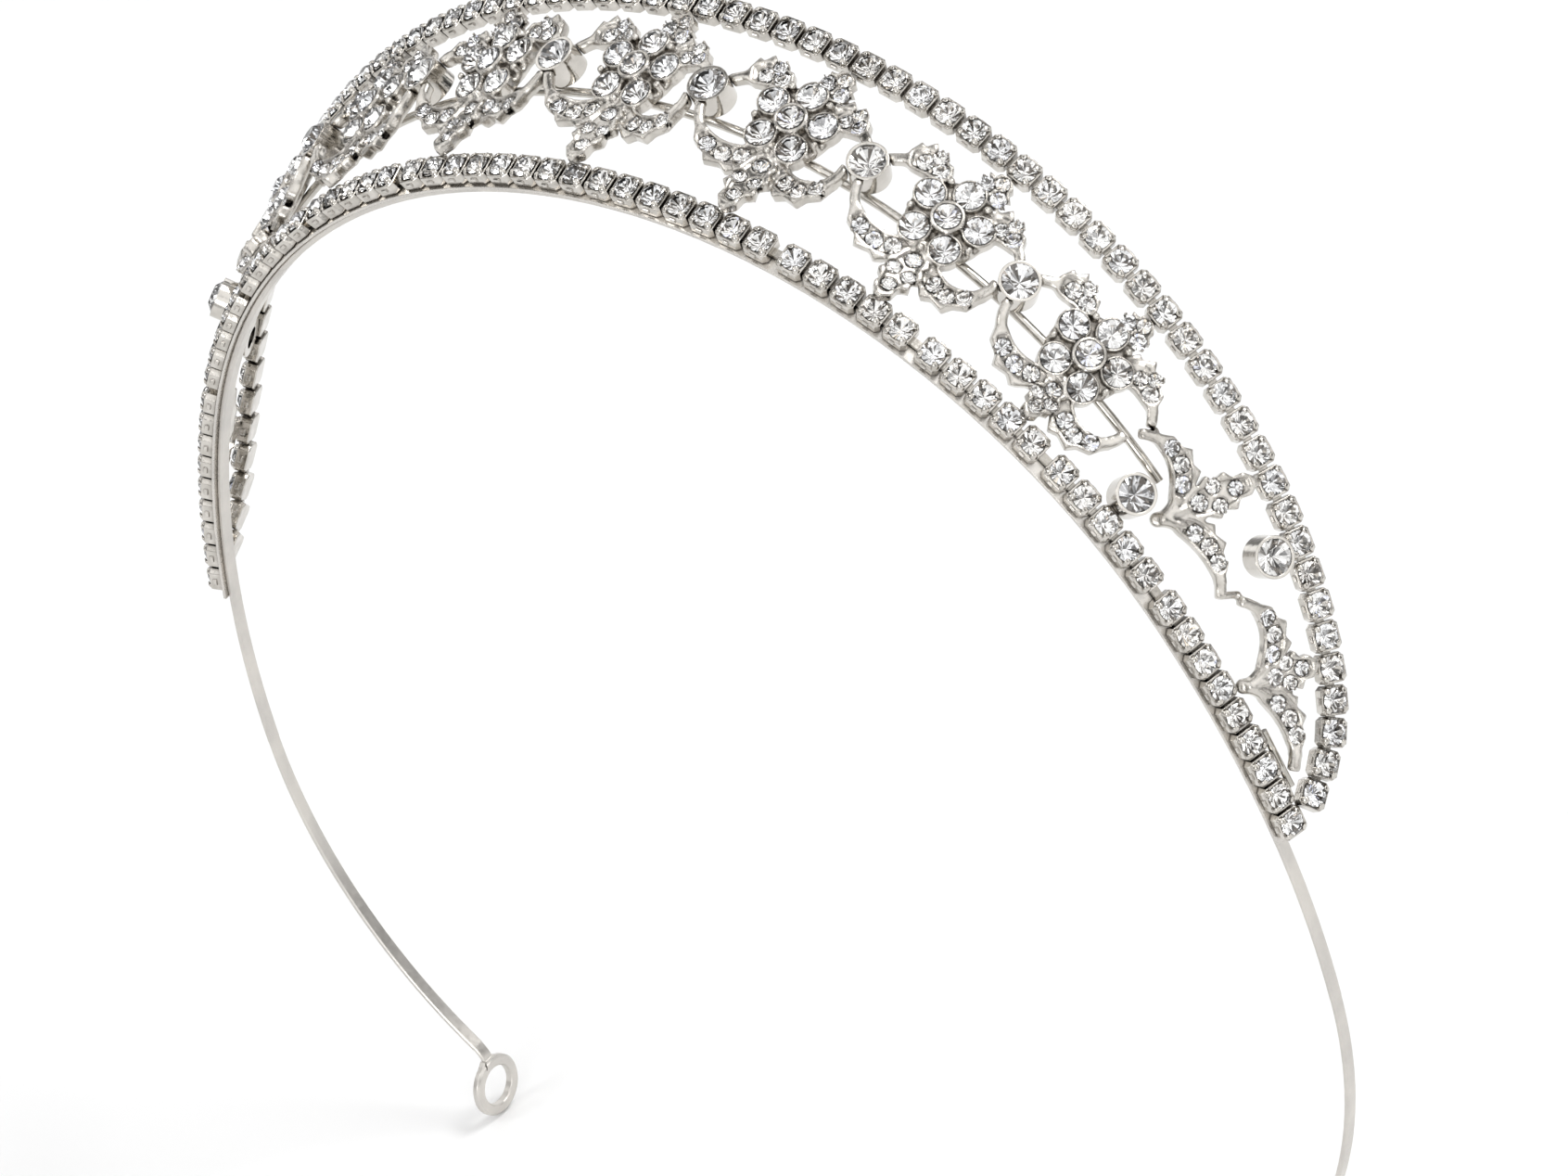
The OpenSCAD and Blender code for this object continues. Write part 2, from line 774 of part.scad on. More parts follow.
module flower_stones(i) {
    color("#eef1f6")
        on_flower(i)
            flower_gems(i);
}

// Collet: a deep plain tube with one crystal, open at the back
module collet() {
    difference() {
        cylinder(r = collet_r, h = collet_h);
        seat_at(collet_stone / 2, collet_h);
        translate([0, 0, -lap])
            cylinder(r = collet_back_r, h = collet_h);
    }
}

module collet_piece(i) {
    color("#dad8d5")
        on_sheet(collet_s(i), collet_at_h(i), cast_f)
            collet();
}

module collet_stones() {
    color("#eef1f6")
        for (i = [1:3])
            on_sheet(collet_s(i), collet_at_h(i), cast_f)
                gem_at(collet_stone / 2, collet_h);
}

module end_collet(k) {
    color("#dad8d5")
        on_sheet(end_collet_s[k], end_collet_h[k], cast_f)
            collet();
}

module end_collet_stones() {
    color("#eef1f6")
        for (k = [0, 1])
            on_sheet(end_collet_s[k], end_collet_h[k], cast_f)
                gem_at(collet_stone / 2, collet_h);
}

// Leaf spray: three leaves from one root
root_r = 0.75;

module spray(k) {
    color("#d0cecb")
        on_sheet(spray_s[k], spray_h[k], cast_f)
            difference() {
                union() {
                    cylinder(r = root_r, h = disc_h);
                    for (v = spray_leaves(k))
                        leaf_body(v);
                }
                for (v = spray_leaves(k))
                    leaf_places(v, true);
            }
}

module spray_stones(k) {
    color("#eef1f6")
        on_sheet(spray_s[k], spray_h[k], cast_f)
            for (v = spray_leaves(k))
                leaf_places(v, false);
}

// Back wire: one round wire bent to an arc in a tilted plane, soldered behind the flowers and collets
module back_wire() {
    depth = cast_f - wire_r - hair;
    top = sheet_point(0, wire_top, depth);
    end = sheet_point(wire_half, wire_tip, depth);
    back = end[1] - top[1];
    drop = top[2] - end[2];
    sag = norm([back, drop]);
    r = (pow(end[0], 2) + pow(sag, 2)) / (2 * sag);
    half = atan2(end[0], r - sag);
    color("#c4c2be")
        translate(top)
            rotate([atan2(-drop, back), 0, 0])
                translate([0, r, 0])
                    rotate([0, 0, -90 - half])
                        rotate_extrude(angle = 2 * half)
                            translate([r, 0])
                                circle(r = wire_r);
}

module tip_wire() {
    color("#c4c2be")
        bar(
            sheet_point(tip_wire_s[0], chain_edge + tip_wire_r + hair, cast_f + tip_wire_r),
            sheet_point(tip_wire_s[1], chain_edge + tip_wire_r + hair, cast_f + tip_wire_r),
            tip_wire_r
        );
}

module flower_centre() { flower_piece(0); }
module flower_right_1() { flower_piece(1); }
module flower_right_2() { flower_piece(2); }
module flower_right_3() { flower_piece(3); }
module flower_left_1() { mirror([1, 0, 0]) flower_piece(1); }
module flower_left_2() { mirror([1, 0, 0]) flower_piece(2); }
module flower_left_3() { mirror([1, 0, 0]) flower_piece(3); }
module flower_centre_stones() { flower_stones(0); }
module flower_right_1_stones() { flower_stones(1); }
module flower_right_2_stones() { flower_stones(2); }
module flower_right_3_stones() { flower_stones(3); }
module flower_left_1_stones() { mirror([1, 0, 0]) flower_stones(1); }
module flower_left_2_stones() { mirror([1, 0, 0]) flower_stones(2); }
module flower_left_3_stones() { mirror([1, 0, 0]) flower_stones(3); }
module collet_right_1() { collet_piece(1); }
module collet_right_2() { collet_piece(2); }
module collet_right_3() { collet_piece(3); }
module collet_left_1() { mirror([1, 0, 0]) collet_piece(1); }
module collet_left_2() { mirror([1, 0, 0]) collet_piece(2); }
module collet_left_3() { mirror([1, 0, 0]) collet_piece(3); }
module collet_right_stones() { collet_stones(); }
module collet_left_stones() { mirror([1, 0, 0]) collet_stones(); }
module spray_right_inner() { spray(0); }
module spray_right_outer() { spray(1); }
module spray_left_inner() { mirror([1, 0, 0]) spray(0); }
module spray_left_outer() { mirror([1, 0, 0]) spray(1); }
module spray_right_inner_stones() { spray_stones(0); }
module spray_right_outer_stones() { spray_stones(1); }
module spray_left_inner_stones() { mirror([1, 0, 0]) spray_stones(0); }
module spray_left_outer_stones() { mirror([1, 0, 0]) spray_stones(1); }
module end_collet_right_lower() { end_collet(0); }
module end_collet_right_upper() { end_collet(1); }
module end_collet_left_lower() { mirror([1, 0, 0]) end_collet(0); }
module end_collet_left_upper() { mirror([1, 0, 0]) end_collet(1); }
module end_collet_right_stones() { end_collet_stones(); }
module end_collet_left_stones() { mirror([1, 0, 0]) end_collet_stones(); }
module leg_right() { leg(); }
module leg_left() { mirror([1, 0, 0]) leg(); }
module tip_wire_right() { tip_wire(); }
module tip_wire_left() { mirror([1, 0, 0]) tip_wire(); }

headband();
leg_right();
leg_left();
base_strip();
lower_chain_cups();
lower_chain_links();
lower_chain_stones();
upper_chain_cups();
upper_chain_links();
upper_chain_stones();
flower_centre();
flower_right_1();
flower_right_2();
flower_right_3();
flower_left_1();
flower_left_2();
flower_left_3();
flower_centre_stones();
flower_right_1_stones();
flower_right_2_stones();
flower_right_3_stones();
flower_left_1_stones();
flower_left_2_stones();
flower_left_3_stones();
collet_right_1();
collet_right_2();
collet_right_3();
collet_left_1();
collet_left_2();
collet_left_3();
collet_right_stones();
collet_left_stones();
spray_right_inner();
spray_right_outer();
spray_left_inner();
spray_left_outer();
spray_right_inner_stones();
spray_right_outer_stones();
spray_left_inner_stones();
spray_left_outer_stones();
end_collet_right_lower();
end_collet_right_upper();
end_collet_left_lower();
end_collet_left_upper();
end_collet_right_stones();
end_collet_left_stones();
back_wire();
tip_wire_right();
tip_wire_left();
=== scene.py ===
from math import atan2, cos, pi, radians, sin

import bmesh
import bpy
from mathutils import Matrix, Quaternion, Vector
from mathutils.kdtree import KDTree


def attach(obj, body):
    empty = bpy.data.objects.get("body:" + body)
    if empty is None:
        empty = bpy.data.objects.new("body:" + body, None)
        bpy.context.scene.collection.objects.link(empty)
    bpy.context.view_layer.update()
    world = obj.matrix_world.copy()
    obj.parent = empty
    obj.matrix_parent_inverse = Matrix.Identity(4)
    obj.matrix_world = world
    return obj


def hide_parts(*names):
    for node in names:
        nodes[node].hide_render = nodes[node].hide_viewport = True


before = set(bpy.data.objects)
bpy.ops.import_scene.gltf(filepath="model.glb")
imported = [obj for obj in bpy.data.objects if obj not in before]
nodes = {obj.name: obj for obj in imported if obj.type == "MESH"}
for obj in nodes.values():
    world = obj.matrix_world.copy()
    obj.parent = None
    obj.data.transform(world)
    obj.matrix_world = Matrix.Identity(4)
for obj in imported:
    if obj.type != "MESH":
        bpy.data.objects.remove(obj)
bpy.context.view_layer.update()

# Headband and legs: three lengths of narrow springy strip that meet under the base strip. The strip
# is drawn through a die, which leaves fine lines along it, and plated. Each leg ends in an eye.
band_middle_height = 0.058153
band_bright = (0.678, 0.65, 0.608)
band_dull = (0.592, 0.57, 0.54)
cloud_detail = 4
cloud_low, cloud_high = 0.35, 0.65
mark_detail = 3
mark_low, mark_high = 0.3, 0.7
mark_depth = 0.00005
edge_samples = 6
line_detail = 2
line_depth = 0.00004


def feed(node, inputs):
    """Give each named input of a node its value, or link it to the output that feeds it."""
    for name, value in inputs.items():
        if isinstance(value, bpy.types.NodeSocket):
            node.id_data.links.new(value, node.inputs[name])
        else:
            node.inputs[name].default_value = value


def add(tree, kind, inputs, **settings):
    """Add a node with its settings and inputs, and give back its outputs."""
    node = tree.nodes.new(kind)
    for name, value in settings.items():
        setattr(node, name, value)
    feed(node, inputs)
    return node.outputs


def source_of(node, name):
    """The output that is linked to one input of a node."""
    return node.inputs[name].links[0].from_socket


def own_place(tree):
    """Places on a piece, measured in its own frame."""
    return add(tree, "ShaderNodeTexCoord", {})["Object"]


def new_group(name, inputs, outputs):
    """A shader node group with named sockets, and what it is given."""
    group = bpy.data.node_groups.new(name, "ShaderNodeTree")
    for way, sockets in (("INPUT", inputs), ("OUTPUT", outputs)):
        for label, kind in sockets.items():
            group.interface.new_socket(name=label, in_out=way, socket_type=kind)
    return group, add(group, "NodeGroupInput", {})


def polish_group():
    """Bright plating: a cloudy tone, and fine polishing marks that change the gloss and the relief."""
    group, given = new_group(
        "bright_plating",
        {"Bright": "NodeSocketColor", "Dull": "NodeSocketColor",
         "Smoothest": "NodeSocketFloat", "Roughest": "NodeSocketFloat",
         "Clouds per Metre": "NodeSocketFloat", "Marks per Metre": "NodeSocketFloat"},
        {"Color": "NodeSocketColor", "Roughness": "NodeSocketFloat", "Height": "NodeSocketFloat"})
    place = own_place(group)
    clouds = add(group, "ShaderNodeTexNoise",
                 {"Vector": place, "Scale": given["Clouds per Metre"], "Detail": cloud_detail})
    marks = add(group, "ShaderNodeTexNoise",
                {"Vector": place, "Scale": given["Marks per Metre"], "Detail": mark_detail})
    spread = add(group, "ShaderNodeMapRange",
                 {"Value": clouds["Fac"], "From Min": cloud_low, "From Max": cloud_high})
    tone = add(group, "ShaderNodeMix",
               {"Factor": spread["Result"], "A": given["Dull"], "B": given["Bright"]}, data_type="RGBA")
    gloss = add(group, "ShaderNodeMapRange",
                {"Value": marks["Fac"], "From Min": mark_low, "From Max": mark_high,
                 "To Min": given["Smoothest"], "To Max": given["Roughest"]})
    add(group, "NodeGroupOutput",
        {"Color": tone["Result"], "Roughness": gloss["Result"], "Height": marks["Fac"]})
    return group


def die_group():
    """Lines left by the drawing die: long along the bend of the strip, fine across it."""
    group, given = new_group(
        "drawn_lines",
        {"Lines per Metre": "NodeSocketFloat", "Stretch": "NodeSocketFloat"},
        {"Height": "NodeSocketFloat"})
    place = add(group, "ShaderNodeSeparateXYZ", {"Vector": own_place(group)})
    height = add(group, "ShaderNodeMath", {0: place["Z"], 1: band_middle_height}, operation="SUBTRACT")
    bend = add(group, "ShaderNodeMath", {0: place["X"], 1: height["Value"]}, operation="ARCTAN2")
    along = add(group, "ShaderNodeMath", {0: bend["Value"], 1: given["Stretch"]}, operation="MULTIPLY")
    laid = add(group, "ShaderNodeCombineXYZ", {"X": along["Value"], "Y": place["Y"]})
    lines = add(group, "ShaderNodeTexNoise",
                {"Vector": laid["Vector"], "Scale": given["Lines per Metre"], "Detail": line_detail})
    add(group, "NodeGroupOutput", {"Height": lines["Fac"]})
    return group


bright_plating = polish_group()
die_lines = die_group()


def plated(name, bright, dull, smoothest, roughest, clouds, marks, relief, edge=0):
    """A plated metal with clouds and marks so many to the metre. Its edge is the radius of its corners."""
    material = bpy.data.materials.new(name)
    material.use_nodes = True
    tree = material.node_tree
    polish = add(tree, "ShaderNodeGroup",
                 {"Bright": (*bright, 1), "Dull": (*dull, 1), "Smoothest": smoothest, "Roughest": roughest,
                  "Clouds per Metre": clouds, "Marks per Metre": marks}, node_tree=bright_plating)
    surface = {"Strength": relief, "Distance": mark_depth, "Height": polish["Height"]}
    if edge:
        surface["Normal"] = add(tree, "ShaderNodeBevel", {"Radius": edge}, samples=edge_samples)["Normal"]
    bump = add(tree, "ShaderNodeBump", surface)
    feed(tree.nodes["Principled BSDF"],
         {"Metallic": 1, "Base Color": polish["Color"], "Roughness": polish["Roughness"],
          "Normal": bump["Normal"]})
    return material


def draw_lines(material, across, along, relief):
    """Lay the die's lines over a strip's polish: so many to the metre across, and to the radian along."""
    tree = material.node_tree
    metal = tree.nodes["Principled BSDF"]
    lines = add(tree, "ShaderNodeGroup", {"Lines per Metre": across, "Stretch": along / across},
                node_tree=die_lines)
    bump = add(tree, "ShaderNodeBump",
               {"Strength": relief, "Distance": line_depth, "Height": lines["Height"],
                "Normal": source_of(metal, "Normal")})
    feed(metal, {"Normal": bump["Normal"]})


def finish_node(name, material):
    """Give a piece that is kept as the solids have it its own metal."""
    nodes[name].data.materials[0] = material


band_metal = plated("drawn_band_plating", band_bright, band_dull, smoothest=0.3, roughest=0.42,
                    clouds=260, marks=2600, relief=0.1, edge=0.00012)
draw_lines(band_metal, across=5200, along=9, relief=0.2)
for strip in ("headband", "leg_right", "leg_left"):
    finish_node(strip, band_metal)

# Base strip: a second, wider strip soldered flat on the band, with a sloped top for the cups. It is
# plated like the band, but rolled, so its face is a little smoother and its lines are fainter.
base_metal = plated("rolled_base_plating", band_bright, band_dull, smoothest=0.22, roughest=0.34,
                    clouds=320, marks=2400, relief=0.15, edge=0.0001)
draw_lines(base_metal, across=4200, along=7, relief=0.1)
finish_node("base_strip", base_metal)

# Crystals: round cut glass with a table, a crown of facets and a silvered back that comes to a point.
# The proportions are those of the solids, so each new stone fills the seat that was bored for it.
girdle_height = 0.86
girdle_sides = 16
table_height = 1.22
table_radius = 0.58
table_sides = 8
glass_index = 1.56
glass_tints = ((0, (0.96, 0.97, 1)), (0.5, (1, 1, 1)), (1, (1, 0.985, 0.97)))
smears_per_metre = 900
smear_roughness = 0.03
foil_bright = (1, 0.997, 0.99)
foil_dull = (0.95, 0.945, 0.938)
# Painted reflections of the crystals' facets: dark, grey and white tones and a few blue and warm glints.
painted_facet_reflections = ((0, (0.135, 0.12, 0.105)), (0.12, (0.72, 0.72, 0.72)), (0.27, (0.94, 0.94, 0.94)),
              (0.44, (1, 1, 1)), (0.988, (0.82, 0.85, 1)), (0.994, (1, 0.92, 0.8)))
same_point = 1e-6
same_facet = radians(2)
solid_table_sides = (6, 8)
next_turn, full_turn = 137.5, 360 / table_sides
next_tint, next_painted_reflection, next_facet = 0.618, 0.7548, 0.618


def tone_ramp(tree, value, stops, interpolation="LINEAR"):
    """Colours laid along a value: each stop is a place on it and a colour."""
    node = tree.nodes.new("ShaderNodeValToRGB")
    feed(node, {"Fac": value})
    ramp = node.color_ramp
    ramp.interpolation = interpolation
    first, *inner, last = stops
    for element, (position, colour) in zip(ramp.elements, (first, last)):
        element.position = position
        element.color = (*colour, 1)
    for position, colour in inner:
        ramp.elements.new(position).color = (*colour, 1)
    return node.outputs["Color"]


def crystal_glass():
    """Clear glass, a trace colder or warmer from stone to stone, with faint smears."""
    material = bpy.data.materials.new("crystal_glass")
    material.use_nodes = True
    tree = material.node_tree
    tint = add(tree, "ShaderNodeAttribute", {}, attribute_name="stone_tint")
    smear = add(tree, "ShaderNodeTexNoise", {"Vector": own_place(tree), "Scale": smears_per_metre})
    gloss = add(tree, "ShaderNodeMapRange",
                {"Value": smear["Fac"], "To Min": 0, "To Max": smear_roughness})
    feed(tree.nodes["Principled BSDF"],
         {"Transmission Weight": 1, "IOR": glass_index, "Roughness": gloss["Result"],
          "Base Color": tone_ramp(tree, tint["Fac"], glass_tints)})
    return material


def facet_foil():
    """Silver foil behind the pavilion, with painted reflections: each facet has its own painted tone from
    dark to white, and a few a painted coloured glint.
    """
    material = plated("silver_foil", foil_bright, foil_dull, smoothest=0.02, roughest=0.06,
                      clouds=800, marks=3000, relief=0.04)
    tree = material.node_tree
    metal = tree.nodes["Principled BSDF"]
    facet = add(tree, "ShaderNodeAttribute", {}, attribute_name="painted_facet_reflection")
    lit = add(tree, "ShaderNodeMix",
              {"Factor": 1, "A": source_of(metal, "Base Color"),
               "B": tone_ramp(tree, facet["Fac"], painted_facet_reflections, "CONSTANT")},
              data_type="RGBA", blend_type="MULTIPLY")
    feed(metal, {"Base Color": lit["Result"]})
    return material


glass = crystal_glass()
foil = facet_foil()


def finished(name, form):
    """The mesh of a finished form."""
    mesh = bpy.data.meshes.new(name)
    form.to_mesh(mesh)
    form.free()
    return mesh


def new_piece(name, form, *materials):
    """Put a finished form in the scene as a piece of its own."""
    mesh = finished(name, form)
    for material in materials:
        mesh.materials.append(material)
    piece = bpy.data.objects.new(name, mesh)
    bpy.context.scene.collection.objects.link(piece)
    return piece


def cut_stone():
    """One stone of radius 1 that stands on its point, with glass above its girdle and foil below."""
    stone = bmesh.new()
    table = bmesh.ops.create_circle(stone, segments=table_sides, radius=table_radius, cap_ends=True)["verts"]
    bmesh.ops.rotate(stone, verts=table, cent=(0, 0, 0), matrix=Matrix.Rotation(pi / table_sides, 3, "Z"))
    bmesh.ops.translate(stone, verts=table, vec=(0, 0, table_height))
    girdle = bmesh.ops.create_circle(stone, segments=girdle_sides, radius=1)["verts"]
    bmesh.ops.translate(stone, verts=girdle, vec=(0, 0, girdle_height))
    rims = [e for e in stone.edges if len(e.link_faces) < 2]
    bmesh.ops.bridge_loops(stone, edges=rims)
    rim = [e for e in stone.edges if len(e.link_faces) == 1]
    point = bmesh.ops.extrude_edge_only(stone, edges=rim)["geom"]
    point = [v for v in point if isinstance(v, bmesh.types.BMVert)]
    bmesh.ops.pointmerge(stone, verts=point, merge_co=(0, 0, 0))
    bmesh.ops.recalc_face_normals(stone, faces=stone.faces)
    for face in stone.faces:
        silvered = min(v.co.z for v in face.verts) < girdle_height / 2
        face.material_index = 1 if silvered else 0
        face.smooth = False
    return finished("cut_stone", stone)


stone_pattern = cut_stone()


def seats_of(node):
    """Place of each stone of a node: its point, axis and girdle radius, read from its solid."""
    solid = bmesh.new()
    solid.from_mesh(nodes[node].data)
    bmesh.ops.remove_doubles(solid, verts=solid.verts, dist=same_point)
    bmesh.ops.dissolve_limit(solid, angle_limit=same_facet, verts=solid.verts, edges=solid.edges)
    seats = []
    for face in solid.faces:
        if len(face.verts) not in solid_table_sides:
            continue
        axis = face.normal.copy()
        centre = face.calc_center_median()
        reached = set(face.verts)
        front = list(reached)
        while front:
            vert = front.pop()
            for edge in vert.link_edges:
                other = edge.other_vert(vert)
                if other not in reached:
                    reached.add(other)
                    front.append(other)
        depth = min((v.co - centre).dot(axis) for v in reached)
        radius = max(((v.co - centre) - axis * (v.co - centre).dot(axis)).length for v in reached)
        seats.append((centre + axis * depth, axis, radius))
    solid.free()
    seats.sort(key=lambda seat: atan2(seat[0].x, seat[0].z - band_middle_height))
    return seats


def standing(foot, axis):
    """The frame of a thing that stands at a foot along an axis."""
    return Matrix.Translation(foot) @ axis.to_track_quat("Z", "Y").to_matrix().to_4x4()


def stamp(form, pattern, place):
    """Add one copy of a pattern to a form, in its place."""
    known = len(form.verts)
    form.from_mesh(pattern)
    form.verts.ensure_lookup_table()
    bmesh.ops.transform(form, verts=form.verts[known:], matrix=place)


def set_stones(name, node, brightest_reflection=1):
    """Set a stone in each seat of a node, each turned and tinted a little differently, with a painted
    reflection on each facet no brighter than the brightest reflection given.
    """
    stones = bmesh.new()
    tint = stones.faces.layers.float.new("stone_tint")
    tone = stones.faces.layers.float.new("painted_facet_reflection")
    for k, (culet, axis, radius) in enumerate(seats_of(node)):
        known = len(stones.faces)
        turn = Matrix.Rotation(radians(k * next_turn % full_turn), 4, "Z")
        stamp(stones, stone_pattern, standing(culet, axis) @ turn @ Matrix.Scale(radius, 4))
        stones.faces.ensure_lookup_table()
        for n, face in enumerate(stones.faces[known:]):
            face[tint] = k * next_tint % 1
            # Painted reflection: each facet gets its own place on the painted ramp.
            face[tone] = (k * next_painted_reflection + n * next_facet) % 1 * brightest_reflection
    piece = new_piece(name, stones, glass, foil)
    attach(piece, "root")
    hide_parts(node)


set_stones("lower_chain_crystals", "lower_chain_stones")
set_stones("upper_chain_crystals", "upper_chain_stones")

# Cup chains: pressed cups on short links, each holding one foil-backed crystal under four claws.
# A cup is a rounded square box of thin bright sheet with a window in two of its sides, and its claws
# are rounded prongs bent in over the crystal. Its sizes are in millimetres.
millimetre = 0.001
cup_half = 1.375
cup_corner = 1.745
cup_sides = 16
cup_bore = 1.17
cup_floor = 0.35
bore_depth = 0.95
foot_taper = 1.06
wall_rings = ((0.1, foot_taper), (0.5, 1), (0.94, 1), (1.18, 1), (1.26, 0.97))
window_height = 0.72
window_frame = 0.08
window_depth = 0.14
claw_corners = (45, 135, 225, 315)
claw_sides = 8
claw_radius = 0.32
claw_thin, claw_broad = 0.7, 1.15
claw_foot = Vector((1.4, 0, 0.8))
claw_rings = ((1.3, 1.38, 1), (1.56, 1.26, 0.92), (1.7, 1.08, 0.7))
claw_point = (0.98, 0, 1.7)
cup_dull = (0.51, 0.485, 0.445)
link_dull = (0.37, 0.35, 0.315)
# Painted shade: crevices where ambient occlusion finds little open space are darkened towards this grey.
painted_shade_grey = (0.14, 0.125, 0.108)
painted_shade_samples = 6
painted_shade_full, painted_shade_none = 0.3, 0.95
painted_shade_width = 0.0006


def make_painted_shade_group():
    """Painted shade: crevices where ambient occlusion finds the light blocked are darkened towards a grey.
    """
    group, given = new_group(
        "painted_crevice_shade",
        {"Color": "NodeSocketColor", "Width": "NodeSocketFloat"},
        {"Color": "NodeSocketColor"})
    opening = add(group, "ShaderNodeAmbientOcclusion", {"Distance": given["Width"]},
                  samples=painted_shade_samples)
    reached = add(group, "ShaderNodeMapRange",
                  {"Value": opening["AO"], "From Min": painted_shade_full, "From Max": painted_shade_none})
    tone = add(group, "ShaderNodeMix",
               {"Factor": reached["Result"], "A": (*painted_shade_grey, 1), "B": given["Color"]},
               data_type="RGBA")
    add(group, "NodeGroupOutput", {"Color": tone["Result"]})
    return group


painted_crevice_shade = make_painted_shade_group()


def paint_shade_in_crevices(material, width):
    """Paint shade into the crevices of a plated metal, up to a width."""
    tree = material.node_tree
    metal = tree.nodes["Principled BSDF"]
    shade = add(tree, "ShaderNodeGroup", {"Color": source_of(metal, "Base Color"), "Width": width},
                node_tree=painted_crevice_shade)
    feed(metal, {"Base Color": shade["Color"]})


cup_metal = plated("pressed_cup_plating", band_bright, cup_dull, smoothest=0.06, roughest=0.16,
                   clouds=900, marks=2100, relief=0.4, edge=0.0001)
# Painted shade in the crevices of the cups.
paint_shade_in_crevices(cup_metal, painted_shade_width)
link_metal = plated("link_plating", cup_dull, link_dull, smoothest=0.15, roughest=0.35,
                    clouds=700, marks=2500, relief=0.4)


def raised(form, edges):
    """Draw a ring of edges out of the sheet and give back the new ring."""
    fresh = bmesh.ops.extrude_edge_only(form, edges=edges)["geom"]
    verts = [g for g in fresh if isinstance(g, bmesh.types.BMVert)]
    edges = [g for g in fresh if isinstance(g, bmesh.types.BMEdge)]
    return verts, [e for e in edges if all(v in verts for v in e.verts)]


def bend_claw(cup, corner):
    """A rounded prong at one corner of a cup, drawn up in rings to a blunt point over the crystal."""
    verts = bmesh.ops.create_circle(cup, segments=claw_sides, radius=claw_radius, cap_ends=True)["verts"]
    bmesh.ops.scale(cup, verts=verts, vec=(claw_thin, claw_broad, 1))
    bmesh.ops.translate(cup, verts=verts, vec=claw_foot)
    ring = list({e for v in verts for e in v.link_edges})
    made = list(verts)
    spot = claw_foot.copy()
    for height, reach, slim in claw_rings:
        verts, ring = raised(cup, ring)
        step = Vector((reach, 0, height)) - spot
        bmesh.ops.translate(cup, verts=verts, vec=step)
        spot = spot + step
        bmesh.ops.scale(cup, verts=verts, vec=(slim, slim, slim), space=Matrix.Translation(-spot))
        made += verts
    verts, ring = raised(cup, ring)
    bmesh.ops.pointmerge(cup, verts=verts, merge_co=claw_point)
    claw = {other for v in made for e in v.link_edges for other in e.verts}
    for face in {f for v in claw for f in v.link_faces}:
        face.smooth = True
    bmesh.ops.transform(cup, verts=list(claw), matrix=Matrix.Rotation(radians(corner), 4, "Z"))


def pressed_cup():
    """One cup standing on its foot: walls drawn up in rings, a bored seat, two windows and four claws."""
    cup = bmesh.new()
    outline = bmesh.ops.create_circle(cup, segments=cup_sides, radius=cup_corner, cap_ends=True)["verts"]
    bmesh.ops.rotate(cup, verts=outline, cent=(0, 0, 0), matrix=Matrix.Rotation(pi / cup_sides, 3, "Z"))
    for v in outline:
        v.co.x = max(-cup_half, min(cup_half, v.co.x))
        v.co.y = max(-cup_half, min(cup_half, v.co.y))
    bmesh.ops.scale(cup, verts=outline, vec=(1 / foot_taper, 1 / foot_taper, 1))
    ring = list(cup.edges)
    before = 0
    for height, widen in wall_rings:
        verts, ring = raised(cup, ring)
        bmesh.ops.translate(cup, verts=verts, vec=(0, 0, height - before))
        bmesh.ops.scale(cup, verts=verts, vec=(widen, widen, 1))
        before = height
    verts, ring = raised(cup, ring)
    for v in verts:
        v.co.xy = v.co.xy.normalized() * cup_bore
    verts, ring = raised(cup, ring)
    bmesh.ops.translate(cup, verts=verts, vec=(0, 0, -bore_depth))
    bmesh.ops.edgeloop_fill(cup, edges=ring)
    middles = [Vector((0, side * cup_half, window_height)) for side in (1, -1)]
    windows = [min(cup.faces, key=lambda face: (face.calc_center_median() - middle).length)
               for middle in middles]
    bmesh.ops.inset_individual(cup, faces=windows, thickness=window_frame, depth=-window_depth)
    for corner in claw_corners:
        bend_claw(cup, corner)
    bmesh.ops.recalc_face_normals(cup, faces=cup.faces)
    return finished("pressed_cup", cup)


cup_pattern = pressed_cup()


def set_cups(name, chain):
    """Stand a cup under each stone of a chain, square to the chain's run."""
    cups = bmesh.new()
    seats = seats_of(chain + "_stones")
    last = len(seats) - 1
    for k, (culet, axis, radius) in enumerate(seats):
        run = seats[min(k + 1, last)][0] - seats[max(k - 1, 0)][0]
        run = (run - axis * run.dot(axis)).normalized()
        stand = Matrix((run, axis.cross(run), axis)).transposed().to_4x4()
        foot = culet - axis * cup_floor * millimetre
        stamp(cups, cup_pattern, Matrix.Translation(foot) @ stand @ Matrix.Scale(millimetre, 4))
    piece = new_piece(name, cups, cup_metal)
    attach(piece, "root")
    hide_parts(chain + "_cups")


for chain in ("lower_chain", "upper_chain"):
    set_cups(chain + "_settings", chain)
    finish_node(chain + "_links", link_metal)

# Flowers: one casting each, polished on its raised stems and settings, with painted shade in its hollows.
# Five petal cups and a heart cup hold the larger crystals. The small ones of the leaves are held by
# grains of metal raised round them.
cast_bright = (0.658, 0.63, 0.588)
cast_grain = 0.0001
cast_rounds = 4
stem_rounds = 24
stem_from_crystal = 0.002
stem_sides = 12
tumble_share = 0.5
grain_sides = 6
grain_rings = ((0.9, 0.95), (0.5, 0.7))
grain_top = 1.65
grain_radius = 0.00017
grain_seat = 1.04
small_stone = 0.0009
cast_metal = plated("cast_flower_plating", cast_bright, cup_dull, smoothest=0.05, roughest=0.14,
                    clouds=700, marks=2600, relief=0.35, edge=0.00045)
# Painted shade in the hollows of the castings.
paint_shade_in_crevices(cast_metal, painted_shade_width)


